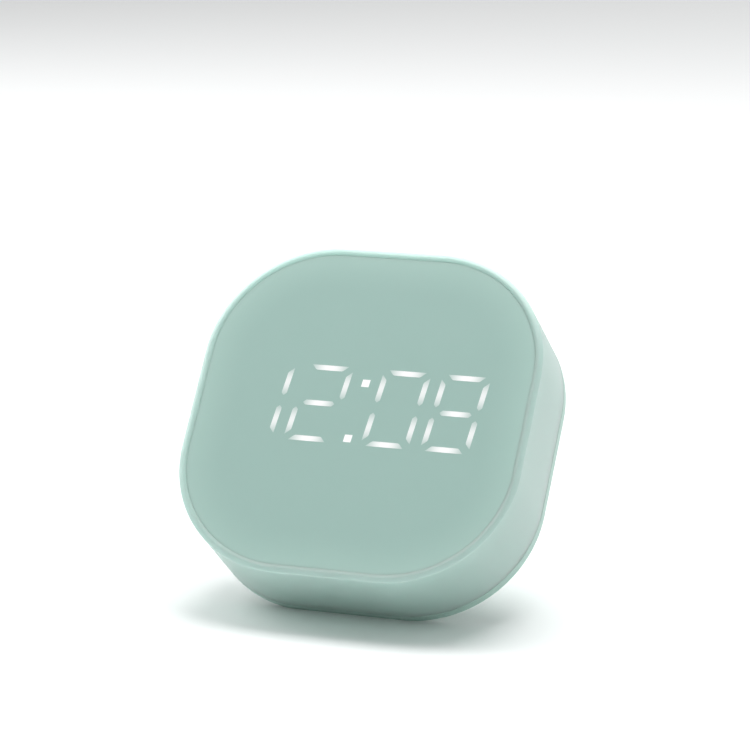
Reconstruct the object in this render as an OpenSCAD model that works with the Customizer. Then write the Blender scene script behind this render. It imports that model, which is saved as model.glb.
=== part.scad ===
// Small alarm clock with a lit time display, standing on its back edge and a fold-out leg.
// Every piece is drawn lying on its back: X across, Y up the face, Z from the back (0) to the
// front. stand_up() then leans it back on its leg, with the floor at Z = 0.

/* [Body] */
// Width and height of the rounded square body
body_w = 80; // [78:0.5:110]
// Depth from the back face to the front of the rim
body_d = 24.4; // [24.2:0.1:34]
// Radius of the body's four corners
corner_r = 28.2; // [24:0.1:30]
// Thickness of the front shell's side wall
wall = 2.0; // [1.6:0.1:2.4]
// Angle that the body leans back from upright
lean = 37; // [30:0.5:45]

/* [Rim and face] */
// Width of the rim around the face panel
rim_w = 1.85; // [1.4:0.05:2.6]
// Height of the rim above the face panel
rim_proud = 0.2; // [0.1:0.05:0.9]
// Rounding of the rim's outer edge
rim_round = 0.35; // [0.2:0.05:0.8]
// Thickness of the face panel
panel_t = 1.8; // [1.2:0.1:2.2]
// Width of the ledge that the face panel is glued to
ledge_w = 2.4; // [1.6:0.1:3.2]
// Thickness of the ledge
ledge_t = 2.0; // [1.2:0.1:2.6]

/* [Time display] */
// Width of a digit between the middles of its upright strokes
digit_w = 10; // [8:0.5:10.5]
// Height of a digit between the middles of its top and bottom strokes
digit_h = 17.5; // [14:0.1:19]
// Width of a lit stroke
stroke = 1.25; // [1:0.05:1.8]
// Distance from a digit's corner to the tip of a stroke
stroke_gap = 1.25; // [1.2:0.05:1.8]
// Slant of the digits
slant = 5.5; // [0:0.5:10]
// Distance between the middles of two neighbouring digits
digit_pitch = 13.9; // [13:0.1:15]
// Distance between the middles of the two digits beside the colon
colon_pitch = 18.4; // [17:0.1:20]
// Side of a colon dot
dot_w = 1.8; // [1.4:0.1:2.6]
// How far right of the middle between the digits the two dots are
colon_x = 0.25; // [0:0.05:0.5]
// Middle of the display across the face
time_x = -0.7; // [-2:0.1:2]
// Middle of the display above the middle of the face
time_y = 1.05; // [-3:0.05:3]

/* [Light block and boards] */
// Thickness of the diffuser film behind the panel
film_t = 0.3; // [0.2:0.05:0.5]
// Depth of the light block
block_t = 5.7; // [4:0.1:6]
// Border of the light block around the display
block_border = 1.4; // [1:0.1:1.6]
// Thickness of the circuit boards
board_t = 1.6; // [1:0.1:1.7]
// Height of the display board
display_board_h = 28.4; // [27:0.1:31]
// Height of the main board's front above the back face
main_board_z = 11.8; // [11.5:0.1:12.2]

/* [Rear cover] */
// Depth of the rear cover's band seen at the side
cover_band = 3.2; // [3:0.1:5]
// Thickness of the rear cover's back wall
cover_t = 2.0; // [1.8:0.1:2.4]
// Rounding of the back edge
back_round = 1.0; // [0.8:0.1:2.4]
// Gap between the front shell and the rear cover
part_gap = 0.12; // [0.05:0.01:0.3]
// Chamfer on each side of that gap
part_chamfer = 0.22; // [0.1:0.01:0.3]
// Width of the flat ground where the back edge meets the table
land = 0.25; // [0.1:0.05:0.4]

/* [Stand] */
// Width of the fold-out leg
leg_w = 26; // [20:0.5:27]
// Thickness of the leg
leg_t = 2.8; // [2.4:0.1:3]
// Distance of the leg's hinge below the middle of the body
hinge_drop = 8.2; // [7.9:0.1:12]
// Distance behind the body's resting edge where the foot stands
foot_reach = 27; // [24:0.5:32]
// Thickness of the rubber foot around the leg's end
pad_t = 0.5; // [0.3:0.05:0.6]
// Diameter of the hinge pin
pin_d = 1.6; // [1.2:0.1:1.8]

/* [Batteries] */
// Diameter of an AAA cell
cell_d = 10.4; // [10:0.1:10.5]
// Length of an AAA cell over its terminals
cell_l = 44.5; // [43.5:0.1:44.5]
// Number of cells
cells = 3; // [2:1:3]
// Thickness of the battery door
door_t = 1.5; // [1.2:0.1:1.6]

/* [Buttons] */
// Diameter of the round buttons on the back
button_d = 7; // [6:0.1:7.4]
// Distance between those buttons
button_pitch = 9.5; // [9:0.1:9.6]
// Travel of a button
button_travel = 0.6; // [0.3:0.05:0.7]
// Length of the snooze button on the top
snooze_l = 20; // [14:0.5:20.5]
// Width of the snooze button
snooze_w = 7; // [5:0.1:8]
// Travel of the alarm slide switch
slide_travel = 3; // [2:0.1:3.2]

/* [Hidden] */
$fn = 64;
corner_c = body_w / 2 - corner_r;
shell_in = corner_r - wall;
panel_clear = 0.05;
glue_clear = 0.02;
moving_clear = 0.3;
run_clear = 0.05;
panel_round = 0.3;

// Levels above the back face
panel_front = body_d - rim_proud;
panel_back = panel_front - panel_t;
ledge_back = panel_back - ledge_t;
film_back = panel_back - film_t;
block_back = film_back - block_t;
display_back = block_back - board_t;
main_back = main_board_z - board_t;
shell_back = cover_band + part_gap;

// Time display
time_digits = [[0, 1, 1, 0, 0, 0, 0], [1, 1, 0, 1, 1, 0, 1], [1, 1, 1, 1, 1, 1, 0], [1, 1, 1, 1, 1, 1, 1]];
digit_x = [-colon_pitch / 2 - digit_pitch, -colon_pitch / 2, colon_pitch / 2, colon_pitch / 2 + digit_pitch];
dot_y = [0.325 * digit_h, -0.455 * digit_h];
cavity_clear = 0.15;
block_w = colon_pitch + 2 * digit_pitch + digit_w + stroke + 2 * block_border;
block_h = digit_h + stroke + 2 * block_border;
led_size = [1.6, 0.8, 0.7];
display_top = time_y + display_board_h / 2;
display_bottom = time_y - display_board_h / 2;
display_board_w = body_w - 2 * wall - 3;
display_post = [body_w / 2 - 6.5, display_board_h / 2 - 4.2];
post_r = 2.2;

// Rear cover, stand and where the clock stands
spigot_t = 1.2;
spigot_h = 7;
fold_z = 2.1;
pad_r = leg_t / 2 + pad_t;
pad_flat = 0.15;
rest_c = [-body_w / 2 + back_round, back_round];
hinge = [-hinge_drop, fold_z];
function level(p) = p[0] * cos(lean) + p[1] * sin(lean);
function behind(p) = p[0] * sin(lean) - p[1] * cos(lean);
floor_level = level(rest_c) - back_round + land;
leg_drop = level(hinge) - (floor_level + pad_r - pad_flat);
leg_back = behind(rest_c) + foot_reach - behind(hinge);
leg_l = norm([leg_drop, leg_back]);
leg_open = atan2(leg_back * cos(lean) + leg_drop * sin(lean), leg_drop * cos(lean) - leg_back * sin(lean));
front_y = -(body_w / 2 - rim_round) * sin(lean) - (body_d - rim_round) * cos(lean) - rim_round;
rear_y = (body_w / 2 - back_round) * sin(lean) - back_round * cos(lean) + back_round;
heel_w = 2.4;
heel_l = 2.7;
heel_gap = 0.1;
knuckle = 0.4;
leg_relief = 0.6;
heel_r = norm([heel_w, heel_l]);
recess_w = leg_w + 0.8;
recess_z = fold_z + pad_r + moving_clear;
heel_z = fold_z + heel_l + heel_gap;
recess_top = hinge[0] + heel_r + moving_clear;
recess_end = hinge[0] - leg_l - pad_r - 0.4;
recess_wall = 1.2;
lug_w = 2.6;
lug_r = 2.0;
pin_l = recess_w + 2 * lug_w;

// Battery bay
cell_pitch = cell_d + 0.8;
bay_y = -1.6;
bay_h = cells * cell_pitch;
cell_tip_r = 1.9;
cell_tip_l = 0.8;
spring_l = 3.7;
spring_r = 3.4;
spring_taper = 0.35;
spring_turns = 5;
spring_wire_r = 0.42;
contact_t = 0.4;
contact_w = 7;
bay_l = cell_l + spring_l + 2 * contact_t;
bay_wall = 1.2;
bay_step = 0.1;
cell_z = door_t + 0.3 + cell_d / 2;
bay_front = cell_z + cell_d / 2 + 0.2;
door_edge = 1.1;
door_w = bay_l + 2 * door_edge;
door_h = bay_h + 2 * door_edge;
door_low = bay_y - door_edge;
door_axis = [door_low + door_h - door_t / 2, door_t / 2];
door_pin_r = 0.6;
door_pin_l = 1.4;
door_corner = 3;
grip_y = 3;
grip_pitch = 1.6;
grip_l = 12;
grip_w = 0.8;
grip_depth = 0.4;
lead_r = 0.55;
lead_l = 4;
lead_drop = 2;
lead_x = recess_w / 2 + 3.6;

// Screws
screw_r = 1.0;
screw_head_r = 2.0;
screw_head_t = 1.2;
screw_sink = 2.0;
screw_l = 11;
boss_r = 3.0;
boss_gap = 0.2;
web_t = 1.6;
small_screw_r = 0.9;
small_head_r = 1.8;
small_head_t = 1.1;
small_bite = 2.6;
hole_clear = 0.15;
cover_holes = [[corner_c + 20.2, corner_c + 8.2], [-corner_c - 20.2, corner_c + 8.2],
    [corner_c + 18, -corner_c - 14.2], [-corner_c - 18, -corner_c - 14.2]];
main_posts = [[display_post[0], hinge[0] - 4], [-display_post[0], hinge[0] - 4],
    [recess_w / 2 + 4.5, recess_end + 2.4], [-recess_w / 2 - 4.5, recess_end + 2.4]];
main_post_r = 2.0;

// Buttons, switches and sockets on the main board
side_x = recess_w / 2 + 8.1;
button_y = [for (k = [0:2]) hinge[0] + 0.7 - k * button_pitch];
button_proud = 0.8;
button_edge = 0.4;
mark_depth = 0.25;
mark_w = 0.5;
mark_l = 2.8;
flange_r = button_d / 2 + 0.8;
flange_t = 1.0;
tact_w = 6;
tact_t = 3.5;
tact_z = main_back - tact_t;
plunger_r = 1.7;
plunger_out = 1.5;
plunger_in = 0.9;
plunger_spare = 0.3;
knob_pos = [side_x + 1, hinge[0] - 20.9];
knob_w = 3.0;
knob_l = 4.0;
knob_proud = 0.7;
knob_stem = [1.6, 2.0, 1.2];
slide_can = [4, 8.4];
usb_pos = [side_x + 2.5, hinge[0] + 0.2];
usb_out = [8.94, 3.26];
usb_in = [8.34, 2.56];
usb_sink = 0.6;
usb_base = 5;
usb_base_t = 1.6;
usb_blade = [6.7, 0.7];
buzzer_pos = [side_x + 4, hinge[0] - 8.8];
buzzer_r = 6;
buzzer_t = 6;
header_y = display_bottom + 1.6;
header_pins_n = 8;
header_pitch = 2.54;
header_pin_r = 0.45;
header_pin_out = 0.8;
chip_pos = [0, hinge[0] - 14];
crystal_pos = [11, hinge[0] - 17];
crystal_r = 1;
crystal_l = 6;
capacitor_pos = [-13, hinge[0] - 15];
capacitor_r = 2.5;
capacitor_h = 6.5;
driver_pos = [-20, display_bottom + 5.4];
sound_hole_r = 0.7;
sound_ring_r = 2.8;

// Snooze button on the top
snooze_z = 14;
snooze_proud = 0.5;
snooze_travel = 0.5;
top_in = body_w / 2 - wall;
snooze_board_y = top_in - 4.4;
snooze_board_t = 1.0;
snooze_board_w = 32;
snooze_post_x = 14;
snooze_board_z = [snooze_z - 6, block_back + 2];
snooze_tact_t = 1.6;
snooze_tact_w = 6;
snooze_stop = snooze_board_y + snooze_board_t + 0.4;
snooze_flange = 1.5;
snooze_flange_t = 0.7;
snooze_edge = 0.4;
snooze_low = top_in - moving_clear - 1;
snooze_plunger_r = 1.5;
snooze_post_r = 1.6;
snooze_stake_r = 0.7;
ribbon_w = 5;
ribbon_t = 0.4;
ribbon_lap = 1.4;

// Colours
mint = "#a9d2c5";
mint_face = "#9cc0b5";
white_light = "#fbfffd";
board_green = "#2f7d4f";
steel = "#c9cdd0";
black = "#26282a";

// ---- shared shapes -------------------------------------------------------------------------

// Leans the clock back and sets its resting edge on the floor
module stand_up()
    translate([0, -(front_y + rear_y) / 2, -floor_level]) rotate([90 - lean, 0, 0]) children();

// Everything below the floor
module below_floor() translate([-body_w, -body_w, -body_w]) cube([2 * body_w, 2 * body_w, body_w]);

// Rounded square outline, with its corners' centres where the body's are
module outline(r, c = corner_c) {
    square([2 * (c + r), 2 * c], center = true);
    square([2 * c, 2 * (c + r)], center = true);
    for (x = [-c, c], y = [-c, c]) translate([x, y]) circle(r);
}

// Carries a profile round the body: its x is the distance out from the corners' centres
module round_body() {
    for (k = [0:3]) rotate([0, 0, 90 * k]) {
        translate([corner_c, corner_c, 0]) rotate_extrude(angle = 90) children();
        translate([corner_c, corner_c, 0]) rotate([90, 0, 0]) linear_extrude(2 * corner_c) children();
    }
}

// A bar with round ends, l long over its ends and w wide
module pill(l, w) {
    square([l - w, w], center = true);
    for (x = [-1, 1]) translate([x * (l - w) / 2, 0]) circle(w / 2);
}

// A rectangle with round corners
module soft_square(w, h, r) {
    square([w, h - 2 * r], center = true);
    square([w - 2 * r, h], center = true);
    for (x = [-1, 1], y = [-1, 1]) translate([x * (w / 2 - r), y * (h / 2 - r)]) circle(r);
}

// A screw with a cross recess: its head's top at the origin, its tip towards -Z
module screw(r, head_r, head_t, length) {
    difference() {
        translate([0, 0, -head_t]) cylinder(r = head_r, h = head_t);
        for (a = [0, 90]) rotate([0, 0, a]) cube([head_r * 1.2, head_r * 0.28, head_t], center = true);
    }
    translate([0, 0, -head_t - length]) cylinder(r = r, h = length);
}

// ---- time display --------------------------------------------------------------------------

// One stroke between two corners of a digit, widened by grow. Its outer side is left or right
// of the line (side = 1 or -1) where its ends are mitred, or both sides are alike (side = 0).
module stroke_shape(a, b, side, grow) {
    d = b - a;
    h = stroke / 2;
    s = stroke_gap - grow;
    l = norm(d);
    w = h + grow;
    translate(a) rotate([0, 0, atan2(d[1], d[0])])
        if (side == 0)
            polygon([[s, 0], [s + w, w], [l - s - w, w], [l - s, 0], [l - s - w, -w], [s + w, -w]]);
        else
            scale([1, side]) polygon([[s - h, w], [l - s + h, w], [l - s - w, -w], [s + w, -w]]);
}

// An upright stroke from the digit's corner a to its waist b: mitred above, pointed below
module upright_shape(a, b, side, grow) {
    d = b - a;
    h = stroke / 2;
    s = stroke_gap - grow;
    l = norm(d);
    w = h + grow;
    translate(a) rotate([0, 0, atan2(d[1], d[0])])
        scale([1, side]) polygon([[s - h, w], [l - s - w, w], [l - s, 0], [l - s - w, -w], [s + w, -w]]);
}

// Stroke k of a digit: top, upper right, lower right, bottom, lower left, upper left, middle
module digit_stroke(k, grow) {
    x = digit_w / 2;
    y = digit_h / 2;
    if (k == 0) stroke_shape([-x, y], [x, y], 1, grow);
    if (k == 1) upright_shape([x, y], [x, 0], 1, grow);
    if (k == 2) upright_shape([x, -y], [x, 0], -1, grow);
    if (k == 3) stroke_shape([-x, -y], [x, -y], -1, grow);
    if (k == 4) upright_shape([-x, -y], [-x, 0], 1, grow);
    if (k == 5) upright_shape([-x, y], [-x, 0], -1, grow);
    if (k == 6) stroke_shape([-x, 0], [x, 0], 0, grow);
}

// The strokes of the whole display that are lit (1) or dark (0), and the two dots with the lit
module time_shapes(lit, grow = 0)
    translate([time_x, time_y]) multmatrix([[1, tan(slant), 0, 0], [0, 1, 0, 0], [0, 0, 1, 0]]) {
        for (n = [0:3], k = [0:6]) if (time_digits[n][k] == lit)
            translate([digit_x[n], 0]) digit_stroke(k, grow);
        if (lit == 1) for (y = dot_y) translate([colon_x, y]) square(dot_w + 2 * grow, center = true);
    }

// Middle of stroke k of a digit
function stroke_middle(k) =
    let (x = digit_w / 2, y = digit_h / 2)
    [[0, y], [x, y / 2], [x, -y / 2], [0, -y], [-x, -y / 2], [-x, y / 2], [0, 0]][k];

// ---- front ---------------------------------------------------------------------------------

// Wall, rim and ledge of the shell in section
module shell_profile() {
    difference() {
        translate([shell_in, shell_back]) square([wall, body_d - shell_back]);
        translate([shell_in - wall, panel_back]) square([2 * wall - rim_w, body_d]);
        translate([corner_r - rim_round, body_d - rim_round]) difference() {
            square(rim_round);
            circle(rim_round);
        }
        translate([corner_r, shell_back]) rotate(45) square(part_chamfer * sqrt(2), center = true);
    }
    translate([shell_in - ledge_w, ledge_back]) square([ledge_w, ledge_t]);
}

module front_shell() stand_up() color(mint) difference() {
    union() {
        round_body() shell_profile();
        for (p = cover_holes) shell_boss(p, boss_r, spigot_h + 2 * boss_gap, ledge_back + ledge_t / 2);
        for (x = [-1, 1], y = [-1, 1])
            shell_boss([x * display_post[0], time_y + y * display_post[1]], post_r, block_back,
                ledge_back + ledge_t / 2, false);
        for (x = [-1, 1]) translate([x * snooze_post_x, 0, snooze_z]) rotate([-90, 0, 0]) {
            translate([0, 0, snooze_board_y + snooze_board_t])
                cylinder(r = snooze_post_r, h = top_in + wall / 2 - snooze_board_y - snooze_board_t);
            translate([0, 0, snooze_board_y - moving_clear]) cylinder(r = snooze_stake_r, h = wall);
        }
    }
    for (p = cover_holes) translate([p[0], p[1], spigot_h])
        cylinder(r = screw_r, h = screw_sink + screw_head_t + screw_l + 1 - spigot_h);
    for (x = [-1, 1], y = [-1, 1])
        translate([x * display_post[0], time_y + y * display_post[1], block_back - 1])
            cylinder(r = small_screw_r, h = small_bite + 1.5);
    translate([0, top_in - 1, snooze_z]) rotate([-90, 0, 0])
        linear_extrude(wall + 2) pill(snooze_l + 2 * moving_clear, snooze_w + 2 * moving_clear);
}

// A boss with a web that ties it to the nearest part of the wall
module shell_boss(p, r, low, high, radial = true) {
    c = [corner_c * sign(p[0]), corner_c * sign(p[1])];
    angle = radial ? atan2(p[1] - c[1], p[0] - c[0]) : (p[0] > 0 ? 0 : 180);
    reach = radial ? corner_r - wall / 2 - norm(p - c) : body_w / 2 - wall / 2 - abs(p[0]);
    translate([p[0], p[1], low]) {
        cylinder(r = r, h = high - low);
        rotate([0, 0, angle]) translate([0, -web_t / 2, 0]) cube([reach, web_t, high - low]);
    }
}

module face_panel() stand_up() color(mint_face) difference() {
    r = corner_r - rim_w - panel_clear;
    union() {
        translate([0, 0, panel_back]) linear_extrude(panel_t - panel_round) outline(r);
        translate([0, 0, panel_back]) linear_extrude(panel_t) outline(r - panel_round);
        round_body() translate([r - panel_round, panel_front - panel_round]) intersection() {
            circle(panel_round);
            square(panel_round);
        }
    }
    translate([0, 0, panel_back - 1]) linear_extrude(panel_t + 2) {
        time_shapes(0);
        time_shapes(1);
    }
}

module lit_segments() stand_up() color(white_light)
    translate([0, 0, panel_back]) linear_extrude(panel_t) time_shapes(1);

module unlit_segments() stand_up() color(mint_face)
    translate([0, 0, panel_back]) linear_extrude(panel_t) time_shapes(0);

module diffuser_film() stand_up() color("#eef2f0")
    translate([time_x, time_y, film_back]) linear_extrude(film_t) square([block_w, block_h], center = true);

module light_block() stand_up() color("white") difference() {
    translate([time_x, time_y, block_back]) linear_extrude(block_t) square([block_w, block_h], center = true);
    translate([0, 0, block_back - 1]) linear_extrude(block_t + 2) {
        time_shapes(0, cavity_clear);
        time_shapes(1, cavity_clear);
    }
}

module segment_leds() stand_up() color("#fff6c8")
    translate([time_x, time_y, block_back + led_size[2] / 2]) {
        for (n = [0:3], k = [0:6]) {
            m = stroke_middle(k);
            translate([digit_x[n] + m[0] + m[1] * tan(slant), m[1], 0])
                rotate([0, 0, m[0] == 0 ? 0 : 90 - slant]) cube(led_size, center = true);
        }
        for (y = dot_y) translate([colon_x + y * tan(slant), y, 0]) cube(led_size, center = true);
    }

module display_board() stand_up() color(board_green) difference() {
    translate([0, time_y, display_back]) linear_extrude(board_t)
        square([display_board_w, display_board_h], center = true);
    for (x = [-1, 1], y = [-1, 1])
        translate([x * display_post[0], time_y + y * display_post[1], display_back - 1])
            cylinder(r = small_screw_r + hole_clear, h = board_t + 2);
    header_holes(display_back - 1, board_t + 2);
}

module display_screws() stand_up() color(steel)
    for (x = [-1, 1], y = [-1, 1])
        translate([x * display_post[0], time_y + y * display_post[1], display_back - small_head_t])
            rotate([180, 0, 0]) screw(small_screw_r, small_head_r, small_head_t, board_t + small_bite);

// A flat chip with two rows of legs, its underside at z = 0
module chip(w, h, t, legs) {
    translate([-w / 2, -h / 2, 0.1]) cube([w, h, t - 0.1]);
    for (k = [0:legs - 1], y = [-1, 1])
        translate([(k - (legs - 1) / 2) * w / legs - 0.2, y > 0 ? h / 2 : -h / 2 - 0.8, 0])
            cube([0.4, 0.8, t * 0.45]);
}

module display_driver() stand_up() color(black)
    translate([driver_pos[0], driver_pos[1], display_back]) rotate([180, 0, 0]) chip(8, 4, 1.3, 7);

module header_holes(z, h)
    for (k = [0:header_pins_n - 1])
        translate([(k - (header_pins_n - 1) / 2) * header_pitch, header_y, z])
            cylinder(r = header_pin_r, h = h);

module header_strip() stand_up() color(black) difference() {
    translate([0, header_y, main_board_z]) linear_extrude(display_back - main_board_z)
        square([header_pins_n * header_pitch, header_pitch - 0.2], center = true);
    header_holes(main_board_z - 1, display_back - main_board_z + 2);
}

module header_pins() stand_up() color("gold")
    header_holes(main_back - header_pin_out, block_back - main_back + 2 * header_pin_out);

// ---- main board ----------------------------------------------------------------------------

module main_board() stand_up() color(board_green) difference() {
    translate([0, 0, main_back]) linear_extrude(board_t) intersection() {
        outline(shell_in - spigot_t - 1);
        translate([-body_w / 2, -body_w / 2]) square([body_w, body_w / 2 + bay_y - bay_wall - 1.2]);
    }
    for (p = cover_holes) translate([p[0], p[1], main_back - 1]) cylinder(r = boss_r + 0.5, h = board_t + 2);
    for (p = main_posts) translate([p[0], p[1], main_back - 1])
        cylinder(r = small_screw_r + hole_clear, h = board_t + 2);
    header_holes(main_back - 1, board_t + 2);
}

module board_screws() stand_up() color(steel)
    for (p = main_posts) translate([p[0], p[1], main_board_z + small_head_t])
        screw(small_screw_r, small_head_r, small_head_t, board_t + small_bite);

module clock_chip() stand_up() color(black)
    translate([chip_pos[0], chip_pos[1], main_board_z]) chip(10, 6, 1.6, 8);

module watch_crystal() stand_up() color(steel)
    translate([crystal_pos[0], crystal_pos[1], main_board_z + crystal_r]) rotate([-90, 0, 0])
        cylinder(r = crystal_r, h = crystal_l);

module capacitor() stand_up() color("#3b4a78")
    translate([capacitor_pos[0], capacitor_pos[1], main_board_z]) cylinder(r = capacitor_r, h = capacitor_h);

module buzzer() stand_up() color(black) difference() {
    translate([buzzer_pos[0], buzzer_pos[1], main_back - buzzer_t]) cylinder(r = buzzer_r, h = buzzer_t);
    translate([buzzer_pos[0], buzzer_pos[1], main_back - buzzer_t - 1]) cylinder(r = 1.2, h = 2.5);
}

// Cans of the three push switches under the back buttons
module tact_switches() stand_up() color(steel)
    for (y = button_y) translate([-side_x, y, tact_z]) difference() {
        linear_extrude(tact_t) square(tact_w, center = true);
        translate([0, 0, -1])
            cylinder(r = plunger_r + 2 * run_clear, h = 1 + plunger_in + button_travel + plunger_spare);
    }

// Button k on the back: its cap, with the mark k (0 a ring, 1 a plus, 2 a minus) cut in its top
module back_button(k) stand_up() color("#f1f4f2") translate([-side_x, button_y[k], 0]) difference() {
    union() {
        translate([0, 0, button_edge - button_proud]) {
            cylinder(r = button_d / 2, h = tact_z - plunger_out + button_proud - button_edge);
            rotate_extrude() translate([button_d / 2 - button_edge, 0]) circle(button_edge);
        }
        translate([0, 0, -button_proud]) cylinder(r = button_d / 2 - button_edge, h = 2 * button_edge);
        translate([0, 0, cover_t + moving_clear]) cylinder(r = flange_r, h = flange_t);
    }
    translate([0, 0, -button_proud - 1]) linear_extrude(1 + mark_depth) {
        if (k == 0) difference() {
            circle(mark_l / 2);
            circle(mark_l / 2 - mark_w);
        }
        if (k > 0) square([mark_l, mark_w], center = true);
        if (k == 1) square([mark_w, mark_l], center = true);
    }
}

module back_plunger(k) stand_up() color("#d9b44a")
    translate([-side_x, button_y[k], tact_z - plunger_out])
        cylinder(r = plunger_r, h = plunger_out + plunger_in);

module mode_button() back_button(0);
module mode_plunger() back_plunger(0);
module up_button() back_button(1);
module up_plunger() back_plunger(1);
module down_button() back_button(2);
module down_plunger() back_plunger(2);

// Slide switch that arms the alarm
module slide_switch() stand_up() color(steel)
    translate([knob_pos[0], knob_pos[1] + slide_travel / 2, tact_z]) difference() {
        linear_extrude(tact_t) square(slide_can, center = true);
        translate([0, 0, -1]) linear_extrude(1 + knob_stem[2] + moving_clear)
            square([knob_stem[0], knob_stem[1] + slide_travel] + 2 * moving_clear * [1, 1], center = true);
    }

module alarm_knob() stand_up() color("#f1f4f2") translate([knob_pos[0], knob_pos[1], 0]) difference() {
    union() {
        translate([0, 0, -knob_proud]) linear_extrude(knob_proud + cover_t + 1)
            soft_square(knob_w, knob_l, 0.8);
        translate([0, 0, cover_t]) linear_extrude(tact_z + knob_stem[2] - cover_t)
            square([knob_stem[0], knob_stem[1]], center = true);
    }
    for (y = [-1, 0, 1]) translate([0, y, -knob_proud]) cube([knob_w + 2, 0.4, 0.6], center = true);
}

module usb_socket() stand_up() color(steel) translate([usb_pos[0], usb_pos[1], usb_sink])
    difference() {
        linear_extrude(main_back - usb_sink) pill(usb_out[0], usb_out[1]);
        translate([0, 0, -1]) linear_extrude(main_back - usb_sink - 2) pill(usb_in[0], usb_in[1]);
    }

module usb_tongue() stand_up() color(black) translate([usb_pos[0], usb_pos[1], usb_sink])
    difference() {
        translate([0, 0, 1]) linear_extrude(usb_base - 1 + usb_base_t) pill(usb_in[0], usb_in[1]);
        difference() {
            linear_extrude(usb_base) square([usb_in[0] + 1, usb_in[1] + 1], center = true);
            linear_extrude(usb_base) square(usb_blade, center = true);
        }
    }

// ---- rear cover ----------------------------------------------------------------------------

module cover_profile() difference() {
    union() {
        translate([shell_in, 0]) square([wall, cover_band]);
        translate([shell_in - part_gap - spigot_t, 0]) square([spigot_t, spigot_h]);
        translate([shell_in - 1, 0]) square([1.5, cover_t]);
    }
    translate([corner_r - back_round, back_round]) rotate(-90) difference() {
        square(back_round + 1);
        circle(back_round);
    }
    translate([corner_r, cover_band]) rotate(45) square(part_chamfer * sqrt(2), center = true);
}

module rear_cover() color(mint) difference() {
    stand_up() difference() {
        union() {
            round_body() cover_profile();
            linear_extrude(cover_t) outline(corner_r - back_round);
            for (p = cover_holes) translate([p[0], p[1], 0]) cylinder(r = boss_r, h = spigot_h + boss_gap);
            for (p = main_posts) translate([p[0], p[1], 0]) cylinder(r = main_post_r, h = main_back);
            bay_box(bay_wall, 0, bay_front + bay_wall);
            recess_box(recess_wall, 0);
            for (x = [-1, 1]) translate([x * (recess_w + lug_w) / 2, hinge[0], hinge[1]])
                rotate([0, 90, 0]) cylinder(r = lug_r, h = lug_w, center = true);
        }
        for (p = cover_holes) translate([p[0], p[1], 0]) {
            translate([0, 0, -1]) cylinder(r = screw_head_r + 0.3, h = screw_sink + screw_head_t + 1);
            cylinder(r = screw_r + 0.2, h = spigot_h + 2);
        }
        for (p = main_posts) translate([p[0], p[1], main_back - 5]) cylinder(r = small_screw_r, h = 6);
        bay_box(0, door_t - 1, bay_front);
        door_opening();
        recess_box(0, -1);
        translate([-pin_l / 2, hinge[0], hinge[1]]) rotate([0, 90, 0])
            cylinder(r = pin_d / 2 + glue_clear, h = pin_l);
        for (y = button_y) translate([-side_x, y, -1])
            cylinder(r = button_d / 2 + moving_clear, h = cover_t + 2);
        translate([knob_pos[0], knob_pos[1] + slide_travel / 2, -1]) linear_extrude(cover_t + 2)
            soft_square(knob_w + 2 * moving_clear, knob_l + slide_travel + 2 * moving_clear, 1);
        translate([usb_pos[0], usb_pos[1], -1]) linear_extrude(cover_t + 2)
            pill(usb_out[0] + 0.6, usb_out[1] + 0.6);
        translate([buzzer_pos[0], buzzer_pos[1], -1]) {
            cylinder(r = sound_hole_r, h = cover_t + 2);
            for (a = [0:60:300]) rotate([0, 0, a]) translate([sound_ring_r, 0, 0])
                cylinder(r = sound_hole_r, h = cover_t + 2);
        }
    }
    below_floor();
}

// The battery bay grown by g all round, between two levels
module bay_box(g, low, high)
    translate([-bay_l / 2 - g, bay_y - g, low]) cube([bay_l + 2 * g, bay_h + 2 * g, high - low]);

// The hollow for the folded leg and its heel grown by g, from level low
module recess_box(g, low) {
    translate([-recess_w / 2 - g, recess_end - g, low])
        cube([recess_w + 2 * g, recess_top - recess_end + 2 * g, recess_z + g - low]);
    translate([-recess_w / 2 - g, hinge[0] - 1 - g, low])
        cube([recess_w + 2 * g, recess_top - hinge[0] + 1 + 2 * g, heel_z + g - low]);
}

// Where the battery door sits, with the bores for its two hinge pins
module door_opening() {
    translate([0, door_low + door_h / 2, -1]) linear_extrude(door_t + bay_step + 1)
        square([door_w + 2 * moving_clear, door_h + 2 * moving_clear], center = true);
    translate([-door_w / 2 - door_pin_l - 0.2, door_axis[0], door_axis[1]]) rotate([0, 90, 0])
        cylinder(r = door_pin_r + run_clear, h = door_w + 2 * door_pin_l + 0.4);
}

module battery_door() stand_up() color(mint) difference() {
    union() {
        linear_extrude(door_t) difference() {
            translate([-door_w / 2, door_low]) square([door_w, door_h - door_t / 2]);
            for (x = [-1, 1]) translate([x * (door_w / 2 - door_corner), door_low + door_corner])
                difference() {
                    translate([x > 0 ? 0 : -door_corner - 1, -door_corner - 1]) square(door_corner + 1);
                    circle(door_corner);
                }
        }
        translate([-door_w / 2, door_axis[0], door_axis[1]]) rotate([0, 90, 0])
            cylinder(r = door_t / 2, h = door_w);
        translate([-door_w / 2 - door_pin_l, door_axis[0], door_axis[1]]) rotate([0, 90, 0])
            cylinder(r = door_pin_r, h = door_w + 2 * door_pin_l);
    }
    for (k = [0:2]) translate([0, door_low + grip_y + grip_pitch * k, -1]) linear_extrude(1 + grip_depth)
        pill(grip_l - 2 * k, grip_w);
}

// Draws across the bay where cell k lies: the cells point in turn to the right and to the left
module in_bay(k) translate([0, bay_y + (k + 0.5) * cell_pitch, cell_z])
    rotate([0, 0, k % 2 == 0 ? 0 : 180]) children();

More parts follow.
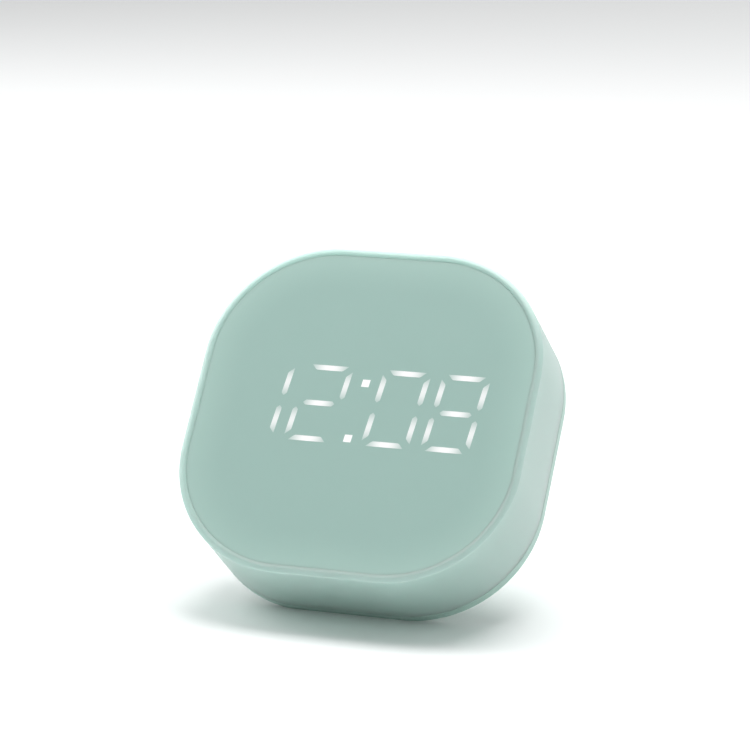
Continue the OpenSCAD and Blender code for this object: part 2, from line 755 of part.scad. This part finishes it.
module battery(k) stand_up() in_bay(k)
    translate([bay_l / 2 - contact_t - cell_l, 0, 0]) rotate([0, 90, 0]) {
        color("#5b8f7e") cylinder(r = cell_d / 2, h = cell_l - cell_tip_l);
        color(steel) cylinder(r = cell_tip_r, h = cell_l);
    }

module battery_low() battery(0);
module battery_middle() battery(1);
module battery_high() battery(2);

// Sheet contacts that the cells' tips press on
module plate_contacts() stand_up() color(steel)
    for (k = [0:cells - 1]) in_bay(k) translate([bay_l / 2 - contact_t, -contact_w / 2, -contact_w / 2])
        cube([contact_t, contact_w, contact_w]);

// Sheet contacts with a coil spring, drawn as its turns on a sheet
module spring_contacts() stand_up() color(steel)
    for (k = [0:cells - 1]) in_bay(k) translate([-bay_l / 2, 0, 0]) {
        translate([0, -contact_w / 2, -contact_w / 2]) cube([contact_t, contact_w, contact_w]);
        translate([contact_t, 0, 0]) rotate([0, 90, 0]) for (t = [0:spring_turns - 1])
            translate([0, 0, spring_wire_r + t * (spring_l - 2 * spring_wire_r) / (spring_turns - 1)])
                rotate_extrude() translate([spring_r - spring_taper * t, 0]) circle(spring_wire_r);
    }

// Two leads from the bay's lower wall to the main board's back, each with one bend
module battery_leads() stand_up() color("#b03030")
    for (x = [-lead_x, lead_x]) translate([x, bay_y - bay_wall - lead_l, main_back - lead_drop]) {
        rotate([-90, 0, 0]) cylinder(r = lead_r, h = lead_l);
        cylinder(r = lead_r, h = lead_drop);
        sphere(lead_r);
    }

module cover_screws() stand_up() color(steel)
    for (p = cover_holes) translate([p[0], p[1], screw_sink]) rotate([180, 0, 0])
        screw(screw_r, screw_head_r, screw_head_t, screw_l);

// ---- stand ---------------------------------------------------------------------------------

// Turns what is drawn folded flat out to where the leg stands
module opened() translate([0, hinge[0], hinge[1]]) rotate([leg_open, 0, 0]) children();

// The folded leg in section, with its hinge at the origin, its tip towards -Y, and its heel
module leg_solid() {
    rotate([90, 0, 90]) translate([0, 0, -leg_w / 2]) linear_extrude(leg_w) {
        circle(leg_t / 2 + knuckle);
        translate([-leg_l, -leg_t / 2]) square([leg_l, leg_t]);
        translate([-leg_l, 0]) circle(leg_t / 2);
        rotate(-leg_open) square([heel_w, heel_l]);
    }
}

module stand_leg() stand_up() opened() color(mint) difference() {
    leg_solid();
    translate([-leg_w / 2 - 1, 0, 0]) rotate([0, 90, 0]) cylinder(r = pin_d / 2 + run_clear, h = leg_w + 2);
    translate([0, -leg_l * 0.55, -leg_t / 2 - 1]) linear_extrude(1 + leg_relief)
        soft_square(leg_w - 8, leg_l * 0.5, 2);
}

module foot_pad() color(black) difference() {
    stand_up() opened() difference() {
        translate([-leg_w / 2 + 1, -leg_l, 0]) rotate([0, 90, 0]) cylinder(r = pad_r, h = leg_w - 2);
        leg_solid();
    }
    below_floor();
}

module hinge_pin() stand_up() color(steel)
    translate([-pin_l / 2, hinge[0], hinge[1]]) rotate([0, 90, 0]) cylinder(r = pin_d / 2, h = pin_l);

// ---- snooze button -------------------------------------------------------------------------

// Draws along the way that the snooze button moves, from level y
module on_top(y) translate([0, y, snooze_z]) rotate([-90, 0, 0]) children();

module snooze_button() stand_up() color("#f1f4f2") {
    on_top(snooze_low) linear_extrude(body_w / 2 + snooze_proud - snooze_edge - snooze_low)
        pill(snooze_l, snooze_w);
    on_top(snooze_low) linear_extrude(body_w / 2 + snooze_proud - snooze_low)
        pill(snooze_l - 2 * snooze_edge, snooze_w - 2 * snooze_edge);
    on_top(top_in - moving_clear - snooze_flange_t) linear_extrude(snooze_flange_t)
        pill(snooze_l + 2 * snooze_flange, snooze_w + 2 * snooze_flange);
}

module snooze_plunger() stand_up() color("#d9b44a")
    on_top(snooze_stop + snooze_travel + run_clear)
        cylinder(r = snooze_plunger_r, h = snooze_low - snooze_stop - snooze_travel - run_clear);

module snooze_switch() stand_up() color(steel) difference() {
    on_top(snooze_board_y + snooze_board_t) linear_extrude(snooze_tact_t)
        square(snooze_tact_w, center = true);
    on_top(snooze_stop) cylinder(r = snooze_plunger_r + 2 * run_clear, h = snooze_tact_t);
}

module snooze_board() stand_up() color(board_green) difference() {
    translate([-snooze_board_w / 2, snooze_board_y, snooze_board_z[0]])
        cube([snooze_board_w, snooze_board_t, snooze_board_z[1] - snooze_board_z[0]]);
    for (x = [-1, 1]) translate([x * snooze_post_x, 0, 0]) on_top(snooze_board_y - 1)
        cylinder(r = snooze_stake_r + run_clear, h = snooze_board_t + 2);
}

module snooze_ribbon() stand_up() color("#d8d8d0")
    translate([-ribbon_w - 3, display_top - ribbon_lap, block_back])
        cube([ribbon_w, snooze_board_y - display_top + ribbon_lap, ribbon_t]);

front_shell();
face_panel();
lit_segments();
unlit_segments();
diffuser_film();
light_block();
segment_leds();
display_board();
display_screws();
display_driver();
header_strip();
header_pins();
main_board();
board_screws();
clock_chip();
watch_crystal();
capacitor();
buzzer();
tact_switches();
mode_button();
mode_plunger();
up_button();
up_plunger();
down_button();
down_plunger();
slide_switch();
alarm_knob();
usb_socket();
usb_tongue();
rear_cover();
battery_door();
battery_low();
battery_middle();
battery_high();
plate_contacts();
spring_contacts();
battery_leads();
cover_screws();
stand_leg();
foot_pad();
hinge_pin();
snooze_button();
snooze_plunger();
snooze_switch();
snooze_board();
snooze_ribbon();
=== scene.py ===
"""A small mint alarm clock with a lit time display, leaning back on a fold-out leg.

Lengths are in metres in the frame's own axes. The mesh functions work in millimetres on the
clock lying on its back, as it is made: X across, Y up the face, Z from the back face forwards.
"""
from math import cos, radians, sin, tan

import bpy
import numpy as np
from mathutils import Matrix, Vector


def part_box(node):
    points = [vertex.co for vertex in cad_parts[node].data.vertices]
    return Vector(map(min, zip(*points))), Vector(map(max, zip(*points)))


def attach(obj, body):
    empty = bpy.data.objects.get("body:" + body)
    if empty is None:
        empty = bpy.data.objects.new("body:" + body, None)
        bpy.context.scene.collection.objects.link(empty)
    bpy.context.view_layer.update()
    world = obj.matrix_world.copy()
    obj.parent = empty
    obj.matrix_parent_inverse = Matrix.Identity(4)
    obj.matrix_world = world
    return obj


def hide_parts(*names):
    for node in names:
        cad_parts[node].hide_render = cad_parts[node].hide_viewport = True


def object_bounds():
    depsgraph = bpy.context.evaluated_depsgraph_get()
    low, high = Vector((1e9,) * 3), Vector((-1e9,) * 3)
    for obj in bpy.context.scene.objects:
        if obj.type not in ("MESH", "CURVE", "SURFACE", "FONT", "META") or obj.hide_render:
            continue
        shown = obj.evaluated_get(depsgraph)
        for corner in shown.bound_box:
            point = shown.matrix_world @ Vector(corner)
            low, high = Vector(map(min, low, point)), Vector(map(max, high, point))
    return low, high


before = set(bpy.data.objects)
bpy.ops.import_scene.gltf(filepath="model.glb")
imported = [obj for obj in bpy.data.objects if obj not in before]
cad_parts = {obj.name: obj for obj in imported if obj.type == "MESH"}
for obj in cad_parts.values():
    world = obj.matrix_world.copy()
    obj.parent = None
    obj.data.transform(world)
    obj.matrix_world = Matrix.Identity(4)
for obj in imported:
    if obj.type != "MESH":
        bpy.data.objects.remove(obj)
cad_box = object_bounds()
MM = 0.001

# ---- front shell ---------------------------------------------------------------------------
# One injection moulding in mint ABS: the side wall, the rim that crowns the face, and the ledge
# that the face panel is glued to. Satin from a spark-eroded mould, with a slot on its top wall.
LEAN = radians(37)
BODY_W, BODY_D, CORNER_R = 80, 24.4, 28.2
WALL, RIM_W, RIM_PROUD, PANEL_T = 2.0, 1.85, 0.2, 1.8
FACE_NORMAL = Vector((0, -cos(LEAN), sin(LEAN)))
low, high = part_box("face_panel")
FACE_CENTRE = (low + high) / 2 + FACE_NORMAL * (PANEL_T / 2 * MM)


def stood(points):
    """Millimetres on the clock's back to metres as it stands: a turn about X by the lean, then a
    shift that brings the face's middle to where the frame has it."""
    x, y, z = np.moveaxis(np.asarray(points, float), -1, 0)
    z = z - (BODY_D - RIM_PROUD)
    turned = np.stack([x, y * sin(LEAN) - z * cos(LEAN), y * cos(LEAN) + z * sin(LEAN)], axis=-1)
    return turned * MM + np.array(FACE_CENTRE)


def round_body(profile, steps=28):
    """Carries a profile round the body: the point at angle t is the nearest corner's centre plus
    the profile's first number times (cos t, sin t), at the height of its second number. Two more
    columns stand just inside each flat, so that its shading is flat from one end to the other."""
    turns = np.radians(np.append(np.linspace(0, 90, steps + 1), [90, 90]))
    t = (turns[None] + np.radians([[0], [90], [180], [270]])).ravel()
    corners = np.array([[1, 1], [-1, 1], [-1, -1], [1, -1]]) * (BODY_W / 2 - CORNER_R)
    along = np.append(np.zeros(steps + 1), [0.04, 0.96])[None, :, None]
    centre = (corners[:, None] + (np.roll(corners, -1, axis=0) - corners)[:, None] * along).reshape(-1, 2)
    out, height = np.asarray(profile, float).T
    x = centre[:, :1] + np.cos(t)[:, None] * out
    y = centre[:, 1:] + np.sin(t)[:, None] * out
    return np.stack([x, y, np.broadcast_to(height, x.shape)], axis=-1)


def arc(cx, cy, r, a, b, steps=8):
    """Points of a circle from a to b degrees: its centre plus r times (cos, sin)."""
    t = np.radians(np.linspace(a, b, steps + 1))
    return np.stack([cx + r * np.cos(t), cy + r * np.sin(t)], axis=-1)


def grid_faces(rows, columns, around=True, closed=True):
    """The four-sided faces of a grid of points: each takes a point, the next one in its row, and
    the same two of the next row. It joins up round the rows, and round the columns if closed."""
    i = np.arange(rows if around else rows - 1)[:, None]
    j = np.arange(columns if closed else columns - 1)[None]
    n, m = (i + 1) % rows, (j + 1) % columns
    corners = [i * columns + j, n * columns + j, n * columns + m, i * columns + m]
    return np.stack(corners, -1).reshape(-1, 4)


SHARP_DEG = 32


def solid(name, points, faces, sharp=SHARP_DEG):
    """A mesh object of these millimetre points, its faces turned outwards: the signed volume is
    the sum of each triangle's corners' triple product, and a negative one flips them all."""
    places = stood(points).reshape(-1, 3)
    fans = np.concatenate([[(f[0], f[k], f[k + 1]) for k in range(1, len(f) - 1)] for f in faces])
    a, b, c = (places[fans[:, k]] for k in range(3))
    if np.einsum("ij,ij->i", a - places[0], np.cross(b - places[0], c - places[0])).sum() < 0:
        faces = [f[::-1] for f in faces]
    mesh = bpy.data.meshes.new(name)
    mesh.from_pydata(places.tolist(), [], [list(map(int, f)) for f in faces])
    mesh.shade_smooth()
    mesh.set_sharp_from_angle(angle=radians(sharp))
    made = bpy.data.objects.new(name, mesh)
    bpy.context.scene.collection.objects.link(made)
    return made


def pill(length, width, steps=16):
    """A bar's outline with round ends: two half circles, half a width from each end."""
    ends = (length - width) / 2
    return np.concatenate([arc(ends, 0, width / 2, -90, 90, steps), arc(-ends, 0, width / 2, 90, 270, steps)])


def prism(name, outline, levels, place, sharp=SHARP_DEG):
    """A solid whose section is an outline, drawn at each level in turn. place turns its outline's
    two numbers and the level into a point, and each end is closed by one flat face."""
    rings = np.stack([place(outline[:, 0], outline[:, 1], np.full(len(outline), z)) for z in levels])
    n = len(outline)
    faces = grid_faces(len(levels), n, around=False).tolist()
    faces += [list(range(n)), list(range((len(levels) - 1) * n, len(levels) * n))[::-1]]
    return solid(name, rings, faces, sharp)


def linear(code, alpha=1.0):
    """An sRGB hex colour as linear light: each share above 0.04045 is ((s + 0.055) / 1.055) to
    the power 2.4, and each one below it is s / 12.92."""
    shares = [int(code[k:k + 2], 16) / 255 for k in (1, 3, 5)]
    return (*((s / 12.92 if s <= 0.04045 else ((s + 0.055) / 1.055) ** 2.4) for s in shares), alpha)


def add(tree, kind, sockets=None, **settings):
    """Adds a shader node with its settings. sockets gives each input by name or number either
    its value or the output that is linked to it."""
    made = tree.nodes.new("ShaderNode" + kind)
    for key, value in settings.items():
        setattr(made, key, value)
    for key, value in (sockets or {}).items():
        if isinstance(value, bpy.types.NodeSocket):
            tree.links.new(value, made.inputs[key])
        else:
            made.inputs[key].default_value = value
    return made


def moulded(name, colour, shade, grain_mm=0.5, depth=0.06, drift_mm=14, **surface):
    """A moulded plastic. Its colour drifts between two close tones over drift_mm, as pigment and
    melt flow do, and grain_mm is the spacing of the mould's texture, which only tips the light.
    surface gives the shader's own numbers by name."""
    material = bpy.data.materials.new(name)
    material.use_nodes = True
    tree = material.node_tree
    tree.nodes.clear()
    where = add(tree, "TexCoord").outputs["Object"]
    drift = add(tree, "TexNoise", {"Vector": where, "Scale": 1000 / drift_mm, "Detail": 2.0})
    tone = add(tree, "Mix", {"Factor": drift.outputs["Fac"], 6: linear(colour), 7: linear(shade)},
               data_type="RGBA")
    grain = add(tree, "TexNoise", {"Vector": where, "Scale": 1000 / grain_mm, "Detail": 3.0})
    bump = add(tree, "Bump", {"Strength": depth, "Distance": 0.0001, "Height": grain.outputs["Fac"]})
    plastic = add(tree, "BsdfPrincipled", {"Base Color": tone.outputs[2], "Normal": bump.outputs["Normal"],
                                           **surface})
    add(tree, "OutputMaterial", {"Surface": plastic.outputs[0]})
    return material


# Moulded ABS, pigmented and slightly translucent: soft light goes a few millimetres in and comes
# out again, so its edges glow and its shadows stay green.
mint_abs = moulded("moulded_mint_abs", "#abcbc1", "#a8c8be", Roughness=0.38, IOR=1.53,
                   **{"Subsurface Weight": 0.8, "Subsurface Radius": (0.8, 1.0, 0.95),
                      "Subsurface Scale": 0.010, "Coat Weight": 0.15, "Coat Roughness": 0.3})

rim_crest, rim_fall, edge_round = BODY_D, 0.38, 0.14
face_edge = CORNER_R - RIM_W
panel_back = BODY_D - RIM_PROUD - PANEL_T
shell_back, seam = 3.32, 0.22
crest_x, inner_fall, share = face_edge + 0.75, 0.2, np.linspace(0, 1, 13)
# The rim's crown falls from its crest to the outer edge with the power 1.4 of the way across,
# turns into the wall with a small arc, and falls to the face by the same power on its inner side.
crown = np.concatenate([
    arc(CORNER_R - edge_round, rim_crest - rim_fall - edge_round, edge_round, 0, 60, 5),
    np.stack([crest_x + (CORNER_R - edge_round / 2 - crest_x) * share[-2::-1],
              rim_crest - rim_fall * share[-2::-1] ** 1.4], -1),
    np.stack([crest_x - (crest_x - face_edge) * share[1:],
              rim_crest - inner_fall * share[1:] ** 1.4], -1)])
shell_section = np.concatenate([
    [[CORNER_R - WALL, shell_back]],
    [[CORNER_R - seam, shell_back], [CORNER_R, shell_back + seam]],
    crown,
    [[face_edge, panel_back], [CORNER_R - WALL - 2.4, panel_back], [CORNER_R - WALL - 2.4, panel_back - 2],
     [CORNER_R - WALL, panel_back - 2]]])
path = round_body(shell_section)
front_shell = solid("front_shell_moulding", path, grid_faces(*path.shape[:2]))
slot_z, slot_l, slot_w = 14, 20.6, 7.6
slot_cutter = prism("slot_cutter", pill(slot_l, slot_w), [BODY_W / 2 - WALL - 1, BODY_W / 2 + 1],
                    lambda x, y, z: np.stack([x, z, slot_z - y], -1))
cut = front_shell.modifiers.new("slot", "BOOLEAN")
cut.object, cut.operation, cut.solver = slot_cutter, "DIFFERENCE", "EXACT"
bpy.context.view_layer.update()
seen = front_shell.evaluated_get(bpy.context.evaluated_depsgraph_get())
slotted = bpy.data.meshes.new_from_object(seen)
slotted.set_sharp_from_angle(angle=radians(SHARP_DEG))
front_shell.modifiers.clear()
front_shell.data = slotted
bpy.data.objects.remove(slot_cutter)
front_shell.data.materials.clear()
front_shell.data.materials.append(mint_abs)
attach(front_shell, "clock")
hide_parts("front_shell")

# ---- face panel ----------------------------------------------------------------------------
# One sheet of tinted acrylic that the display shines through. Its front is frosted and falls
# away a very little towards its edge, where its colour is painted paler beside the bare rim: a painted glow
# for light that scatters in there.
panel_r, panel_fall, panel_fall_w = face_edge - 0.02, 0.04, 9.0
panel_front = BODY_D - RIM_PROUD
inset = np.linspace(0, 1, 17)
# The front's height drops with the cube of how far into the falling border it is.
border = np.stack([panel_r - 0.03 - panel_fall_w * (1 - inset), panel_front - panel_fall * inset ** 3], -1)
panel_section = np.concatenate([
    [[6, panel_front]], border, arc(panel_r - 0.03, panel_front - panel_fall - 0.03, 0.03, 75, 0, 4),
    [[panel_r, panel_back], [6, panel_back]]])
path = round_body(panel_section)
rows, columns = path.shape[:2]
faces = grid_faces(rows, columns, closed=False).tolist()
faces += [[r * columns for r in range(rows)][::-1], [r * columns + columns - 1 for r in range(rows)]]
face_panel = solid("frosted_face_sheet", path, faces)
# How far a point is into the falling border, to the power 1.5, from 0 to 1: the mask of the painted edge glow
edge = np.clip((panel_section[:, 0] - panel_r + panel_fall_w) / panel_fall_w, 0, 1) ** 1.5
painted_glow_attribute = face_panel.data.attributes.new("edge", "FLOAT", "POINT")
painted_glow_attribute.data.foreach_set("value", np.tile(edge, rows).astype(np.float32))


def frosted_sheet(name, colour, shade, edge_colour):
    """Frosted acrylic over a tinted print: the print's tone, drifting a little over 20 mm, which
    is painted paler where the stored glow value rises, a painted glow for light from the bare rim that
    scatters in."""
    material = moulded(name, colour, shade, 0.6, 0.03, 20, Roughness=0.5, IOR=1.49,
                       **{"Subsurface Weight": 0.25, "Subsurface Radius": (0.8, 1.0, 0.95),
                          "Subsurface Scale": 0.003})
    tree = material.node_tree
    sheet = next(n for n in tree.nodes if n.type == "BSDF_PRINCIPLED")
    # Painted light: the stored mask mixes the sheet's tone towards a paler one near the edge
    edge = add(tree, "Attribute", attribute_name="edge").outputs["Fac"]
    tone = add(tree, "Mix", {"Factor": edge, 6: sheet.inputs["Base Color"].links[0].from_socket,
                             7: linear(edge_colour)}, data_type="RGBA")
    tree.links.new(tone.outputs[2], sheet.inputs["Base Color"])
    return material


# The third colour is the paler tone of the painted edge glow
face_panel.data.materials.append(frosted_sheet("frosted_tinted_acrylic_painted_glow", "#9ebdb5", "#9cbbb3", "#a8c7be"))
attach(face_panel, "clock")
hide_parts("face_panel", "unlit_segments")

# ---- lit strokes ---------------------------------------------------------------------------
# The windows in the panel's dark print that the lit strokes and the two dots shine through:
# clear print, bright over the LED in its middle and dimmer towards its ends.
DIGIT_W, DIGIT_H, STROKE, STROKE_GAP = 10, 17.5, 1.25, 1.25
SLANT, DIGIT_PITCH, COLON_PITCH, DOT_W = radians(5.5), 13.9, 18.4, 1.8
TIME_X, TIME_Y, COLON_X = -0.7, 1.05, 0.25
half_w, half_h, h = DIGIT_W / 2, DIGIT_H / 2, STROKE / 2
# Strokes of a digit: from, to, which side is its outer one, and whether its end is pointed
STROKES = [((-half_w, half_h), (half_w, half_h), 1, False), ((half_w, half_h), (half_w, 0), 1, True),
           ((half_w, -half_h), (half_w, 0), -1, True), ((-half_w, -half_h), (half_w, -half_h), -1, False),
           ((-half_w, -half_h), (-half_w, 0), 1, True), ((-half_w, half_h), (-half_w, 0), -1, True),
           ((-half_w, 0), (half_w, 0), 0, True)]
LIT = [[1, 2], [0, 1, 3, 4, 6], [0, 1, 2, 3, 4, 5], [0, 1, 2, 3, 4, 5, 6]]
window_top, window_depth = panel_front + 0.02, 0.3


def stroke_window(start, end, side, pointed, along=26, dim_end=0.22):
    """A stroke's four edges at steps along it, and how bright it is there. Its outer edge is
    straight and its inner edge is cut back at 45 degrees where it meets a corner. A pointed end
    closes both edges at 45 degrees. The brightness rises from the ends as a sine, to 1 in a level
    stroke and less in an upright one, whose LED stands farther off its middle."""
    peak = 1.0 if start[1] == end[1] else 0.78
    start, end = np.array(start, float), np.array(end, float)
    length = np.linalg.norm(end - start)
    first = STROKE_GAP if side == 0 else STROKE_GAP - h
    last = length - STROKE_GAP + (0 if pointed else h)
    x = np.linspace(first + 0.05, last - 0.05, along)
    tip = last - x
    upper = np.minimum(h, tip) if pointed else np.full_like(x, h)
    lower = np.maximum(-h, -tip) if pointed else np.maximum(-h, h - tip)
    if side == 0:
        upper = np.minimum(upper, x - first)
        lower = -upper
    else:
        lower = np.maximum(lower, h - (x - first))
    d = (end - start) / length
    across = np.array([-d[1], d[0]]) * (side or 1)
    edges = [start + x[:, None] * d + y[:, None] * across for y in (lower, upper)]
    share = np.sin(np.pi * (x - first) / (last - first)) ** 1.3
    return edges, dim_end + (peak - dim_end) * share


points, faces, bright = [], [], []
digit_x = [-COLON_PITCH / 2 - DIGIT_PITCH, -COLON_PITCH / 2, COLON_PITCH / 2, COLON_PITCH / 2 + DIGIT_PITCH]
windows = [(x, stroke_window(*STROKES[k])) for x, lit in zip(digit_x, LIT) for k in lit]
dot = np.array([-1, 1]) * DOT_W / 2
for y in (0.325 * DIGIT_H, -0.455 * DIGIT_H):
    windows.append((COLON_X, ([np.stack([dot, np.full(2, y + s)], -1) for s in dot], np.ones(2))))
for x, ((lower, upper), share) in windows:
    ring = np.stack([np.insert(e, 2, z, axis=1) for e, z in (
        (lower, window_top - window_depth), (lower, window_top), (upper, window_top),
        (upper, window_top - window_depth))], axis=1)
    ring[..., 0] += x + ring[..., 1] * tan(SLANT) + TIME_X
    ring[..., 1] += TIME_Y
    n, first = len(ring), sum(len(p) for p in points)
    window = grid_faces(n, 4, around=False).tolist()
    window += [[0, 1, 2, 3], [4 * n - 1, 4 * n - 2, 4 * n - 3, 4 * n - 4]]
    points.append(ring.reshape(-1, 3))
    faces += [[first + k for k in f] for f in window]
    bright.append(np.repeat(share, 4))
lit_strokes = solid("lit_stroke_windows", np.concatenate(points), faces, 20)
glow = lit_strokes.data.attributes.new("glow", "FLOAT", "POINT")
glow.data.foreach_set("value", np.concatenate(bright).astype(np.float32))


def lit_window(name):
    """White light through a clear window, by the glow stored on the mesh: where it is 0 the window
    has the sheet's own tone, and as it rises that tone gives way to white that gives off light."""
    material = bpy.data.materials.new(name)
    material.use_nodes = True
    tree = material.node_tree
    tree.nodes.clear()
    glow = add(tree, "Attribute", attribute_name="glow").outputs["Fac"]
    tone = add(tree, "Mix", {"Factor": glow, 6: linear("#9ebdb5"), 7: (0, 0, 0, 1)}, data_type="RGBA")
    light = add(tree, "Mix", {"Factor": glow, 6: (0, 0, 0, 1), 7: (1, 1, 1, 1)}, data_type="RGBA")
    window = add(tree, "BsdfPrincipled", {"Base Color": tone.outputs[2], "Roughness": 0.5, "IOR": 1.49,
                                          "Emission Color": light.outputs[2], "Emission Strength": 1.0})
    add(tree, "OutputMaterial", {"Surface": window.outputs[0]})
    return material


lit_strokes.data.materials.append(lit_window("lit_clear_window"))
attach(lit_strokes, "clock")
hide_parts("lit_segments")

# ---- what lies behind the face -------------------------------------------------------------
# The diffuser film, the white block with a light well for each stroke, and the LEDs on their
# board. They are plain bought or moulded pieces that only a taken-apart clock shows.


def finish_nodes(material, *names):
    """Gives CAD nodes, which keep their shape, this material in every slot."""
    for name in names:
        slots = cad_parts[name].data.materials
        for k in range(len(slots)):
            slots[k] = material


finish_nodes(moulded("matte_polyester_film", "#eef2f0", "#e6ebe9", 0.3, 0.1, Roughness=0.6), "diffuser_film")
finish_nodes(moulded("white_abs_light_block", "#f4f4f0", "#eaeae5", 0.4, 0.1, Roughness=0.5), "light_block")
finish_nodes(moulded("led_epoxy", "#fff2b0", "#f6e69a", 0.3, 0.02, Roughness=0.25), "segment_leds")

# ---- circuit boards and what is soldered to them -------------------------------------------
# Glass-fibre boards under green solder resist, chips and a buzzer in black epoxy, a tinned
# crystal can, and gold-flashed pins in a black strip that joins the two boards.
solder_resist = moulded("green_solder_resist_board", "#2c7a4b", "#256b41", 0.8, 0.15, 3, Roughness=0.35)
finish_nodes(solder_resist, "display_board", "main_board", "snooze_board")
black_epoxy = moulded("black_moulded_epoxy", "#26282a", "#303234", 0.3, 0.2, Roughness=0.55)
finish_nodes(black_epoxy, "display_driver", "clock_chip", "buzzer", "header_strip", "usb_tongue")


def metal(name, colour, shade, roughness, brushed_mm):
    """A metal whose tone and roughness change a little along its rolled or turned grain."""
    material = bpy.data.materials.new(name)
    material.use_nodes = True
    tree = material.node_tree
    tree.nodes.clear()
    where = add(tree, "TexCoord").outputs["Object"]
    run = add(tree, "Mapping", {"Vector": where, "Scale": (1.0, 8.0, 8.0)})
    grain = add(tree, "TexNoise", {"Vector": run.outputs[0], "Scale": 1000 / (8 * brushed_mm), "Detail": 4.0})
    tone = add(tree, "Mix", {"Factor": grain.outputs["Fac"], 6: linear(colour), 7: linear(shade)},
               data_type="RGBA")
    dull = add(tree, "MapRange", {"Value": grain.outputs["Fac"], "To Min": roughness - 0.06,
                                  "To Max": roughness + 0.1})
    body = add(tree, "BsdfPrincipled", {"Base Color": tone.outputs[2], "Metallic": 1.0,
                                        "Roughness": dull.outputs[0]})
    add(tree, "OutputMaterial", {"Surface": body.outputs[0]})
    return material


nickel_steel = metal("nickel_plated_steel", "#c9cdd0", "#b4b8bc", 0.28, 0.4)
finish_nodes(nickel_steel, "watch_crystal", "tact_switches", "slide_switch", "usb_socket", "snooze_switch",
             "plate_contacts", "spring_contacts")
finish_nodes(metal("gold_flashed_pins", "#e2bb66", "#c99f4e", 0.25, 0.3), "header_pins")
finish_nodes(moulded("printed_can_sleeve", "#34426c", "#2c3960", 0.5, 0.05, Roughness=0.3), "capacitor")
finish_nodes(moulded("acetal_plunger", "#d9b44a", "#cda73f", 0.3, 0.1, Roughness=0.4),
             "mode_plunger", "up_plunger", "down_plunger", "snooze_plunger")
finish_nodes(moulded("flat_ribbon_cable", "#d8d8d0", "#c4c4bc", 0.6, 0.3, 1.2, Roughness=0.5),
             "snooze_ribbon")

# ---- rear cover and battery door -----------------------------------------------------------
# A second moulding in the same ABS, fixed from behind by four screws. It holds the battery bay,
# the well for the folded leg and the openings for the controls. The door hinges on two pins.
mint_cover = moulded("moulded_mint_abs_cover", "#abcac0", "#a8c7bd", Roughness=0.4, IOR=1.53,
                     **{"Subsurface Weight": 0.35, "Subsurface Radius": (0.8, 1.0, 0.95),
                        "Subsurface Scale": 0.005})
finish_nodes(mint_cover, "rear_cover", "battery_door")
finish_nodes(nickel_steel, "cover_screws", "display_screws", "board_screws", "hinge_pin")
finish_nodes(moulded("shrunk_cell_jacket", "#5b8f7e", "#528474", 0.4, 0.03, Roughness=0.25),
             "battery_low", "battery_middle", "battery_high")
finish_nodes(moulded("pvc_wire_sleeve", "#b03030", "#a02828", 0.4, 0.05, Roughness=0.4), "battery_leads")

# ---- controls on the back and top ----------------------------------------------------------
# Push buttons, the alarm slide's knob and the snooze bar, moulded in white ABS.
white_abs = moulded("moulded_white_abs", "#f1f4f2", "#e9edeb", 0.4, 0.08, 6, Roughness=0.4, IOR=1.53,
                    **{"Subsurface Weight": 0.15, "Subsurface Radius": (1.0, 1.0, 1.0),
                       "Subsurface Scale": 0.001})
finish_nodes(white_abs, "mode_button", "up_button", "down_button", "alarm_knob", "snooze_button")

# ---- stand leg and its foot ----------------------------------------------------------------
# The leg is moulded in the same mint ABS and turns on a steel pin; its foot is a rubber strip.
finish_nodes(mint_cover, "stand_leg")
finish_nodes(moulded("moulded_rubber_foot", "#2c2e30", "#242628", 0.35, 0.5, 5, Roughness=0.75), "foot_pad")

# ---- floor, light and camera ---------------------------------------------------------------
# A white table in a white studio: an even surround, a soft light overhead, a wider one behind on
# the right, and a weaker one on the left.
floor_w = 12.0
floor = bpy.data.objects.new("table", bpy.data.meshes.new("table"))
corners = np.array([[-1, -1], [1, -1], [1, 1], [-1, 1]]) * floor_w / 2
floor.data.from_pydata([(x, y, cad_box[0][2]) for x, y in corners.tolist()], [], [(0, 1, 2, 3)])
bpy.context.scene.collection.objects.link(floor)
floor.data.materials.append(moulded("matte_white_table", "#f8f9f9", "#f6f8f8", 2.0, 0.0, 200, Roughness=0.7))

world = bpy.data.worlds.new("white_studio")
bpy.context.scene.world = world
world.use_nodes = True
world.node_tree.nodes["Background"].inputs["Color"].default_value = (1, 1, 1, 1)
world.node_tree.nodes["Background"].inputs["Strength"].default_value = 0.48


def soft_light(name, place, width, power, colour=(1, 1, 1)):
    """A square soft light at place, turned to face the clock's middle."""
    data = bpy.data.lights.new(name, "AREA")
    data.size, data.energy, data.color = width, power, colour
    light = bpy.data.objects.new(name, data)
    light.location = place
    light.rotation_euler = (Vector(place) - FACE_CENTRE).to_track_quat("Z", "Y").to_euler()
    bpy.context.scene.collection.objects.link(light)


soft_light("top_light", (0.05, 0.2, 0.95), 0.7, 8.0)
soft_light("back_light", (0.5, 1.2, 0.9), 2.2, 5.0)
soft_light("left_light", (-0.8, 0.2, 0.7), 0.8, 5.0)

azimuth, elevation, distance = radians(19.80), radians(12.58), 0.700
right = Vector((cos(azimuth), sin(azimuth), 0))
up = Vector((-sin(azimuth) * sin(elevation), cos(azimuth) * sin(elevation), cos(elevation)))
back = right.cross(up)
camera = bpy.data.objects.new("camera", bpy.data.cameras.new("camera"))
camera.data.lens, camera.data.sensor_width = 150.7, 36
turn = Matrix((right, up, back)).transposed().to_4x4()
aim = FACE_CENTRE + right * 0.00352 + up * 0.00796
camera.matrix_world = Matrix.Translation(aim + back * distance) @ turn
bpy.context.scene.collection.objects.link(camera)
bpy.context.scene.camera = camera
bpy.context.scene.view_settings.view_transform = "Standard"
